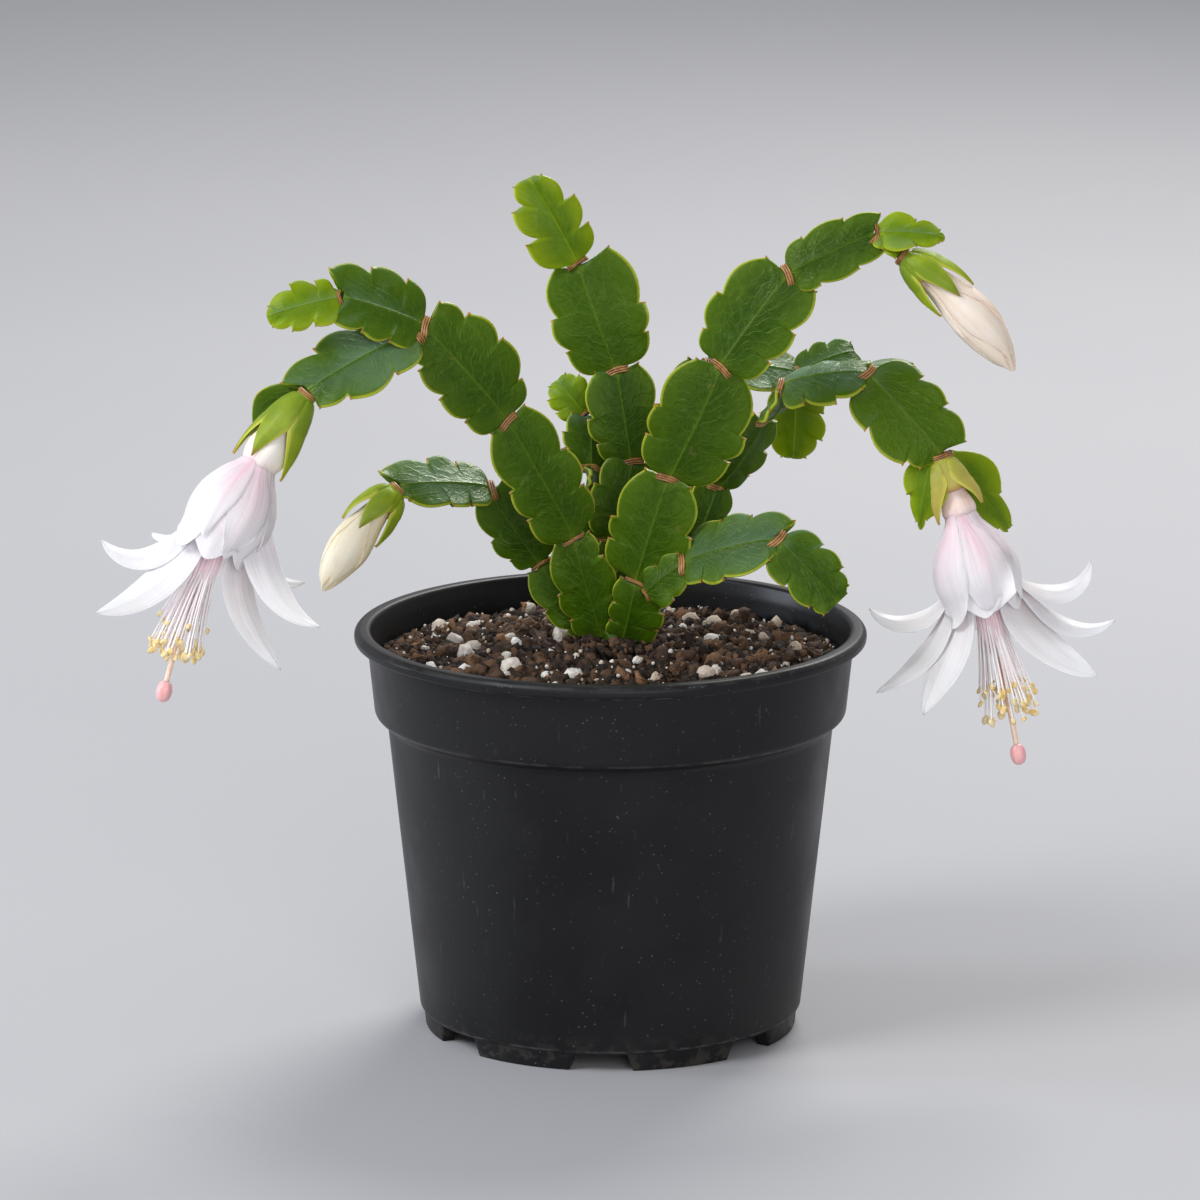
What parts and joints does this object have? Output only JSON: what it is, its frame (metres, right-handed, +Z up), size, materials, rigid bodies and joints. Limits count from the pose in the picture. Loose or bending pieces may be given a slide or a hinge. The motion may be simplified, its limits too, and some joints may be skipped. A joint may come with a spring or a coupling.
{
  "type": "potted christmas cactus",
  "caption": "Flowering christmas cactus with arching stems of flat jointed scalloped segments, hanging two-tiered flowers and closed buds, in a round black nursery pot of potting mix.",
  "frame": {"origin": "on the table, under the middle of the pot's foot ring", "axes": "+Z up, the pictured front faces -Y, +X to the right across the plant's widest spread"},
  "size_m": [0.2356, 0.12, 0.1997],
  "materials": {
    "pot_plastic": "satin",
    "potting_mix": "matte",
    "old_stem": "satin",
    "young_stem": "satin",
    "calyx": "satin",
    "petal": "matte",
    "stamen": "matte",
    "pistil": "satin",
    "bud_petal": "satin"
  },
  "bodies": {
    "root": {"pot": "pot_plastic", "soil": "potting_mix", "crown": "old_stem", "stem_left_high": "old_stem", "stem_left_low": "old_stem", "stem_middle": "old_stem", "stem_right_high": "old_stem", "stem_right_low": "old_stem", "stem_drooping": "old_stem", "stem_back_left": "old_stem", "stem_back_right": "old_stem", "tip_left_high": "young_stem", "tip_middle": "young_stem", "tips_right_high": "young_stem", "tip_drooping_left": "young_stem", "tip_drooping_right": "young_stem", "tip_back_left": "young_stem", "tip_back_right": "young_stem", "flower_left_calyx": "calyx", "flower_left_petals": "petal", "flower_left_stamens": "stamen", "flower_left_pistil": "pistil", "bud_left_calyx": "calyx", "bud_left_petals": "bud_petal", "flower_right_calyx": "calyx", "flower_right_petals": "petal", "flower_right_stamens": "stamen", "flower_right_pistil": "pistil", "bud_right_calyx": "calyx", "bud_right_petals": "bud_petal"}
  },
  "joints": []
}
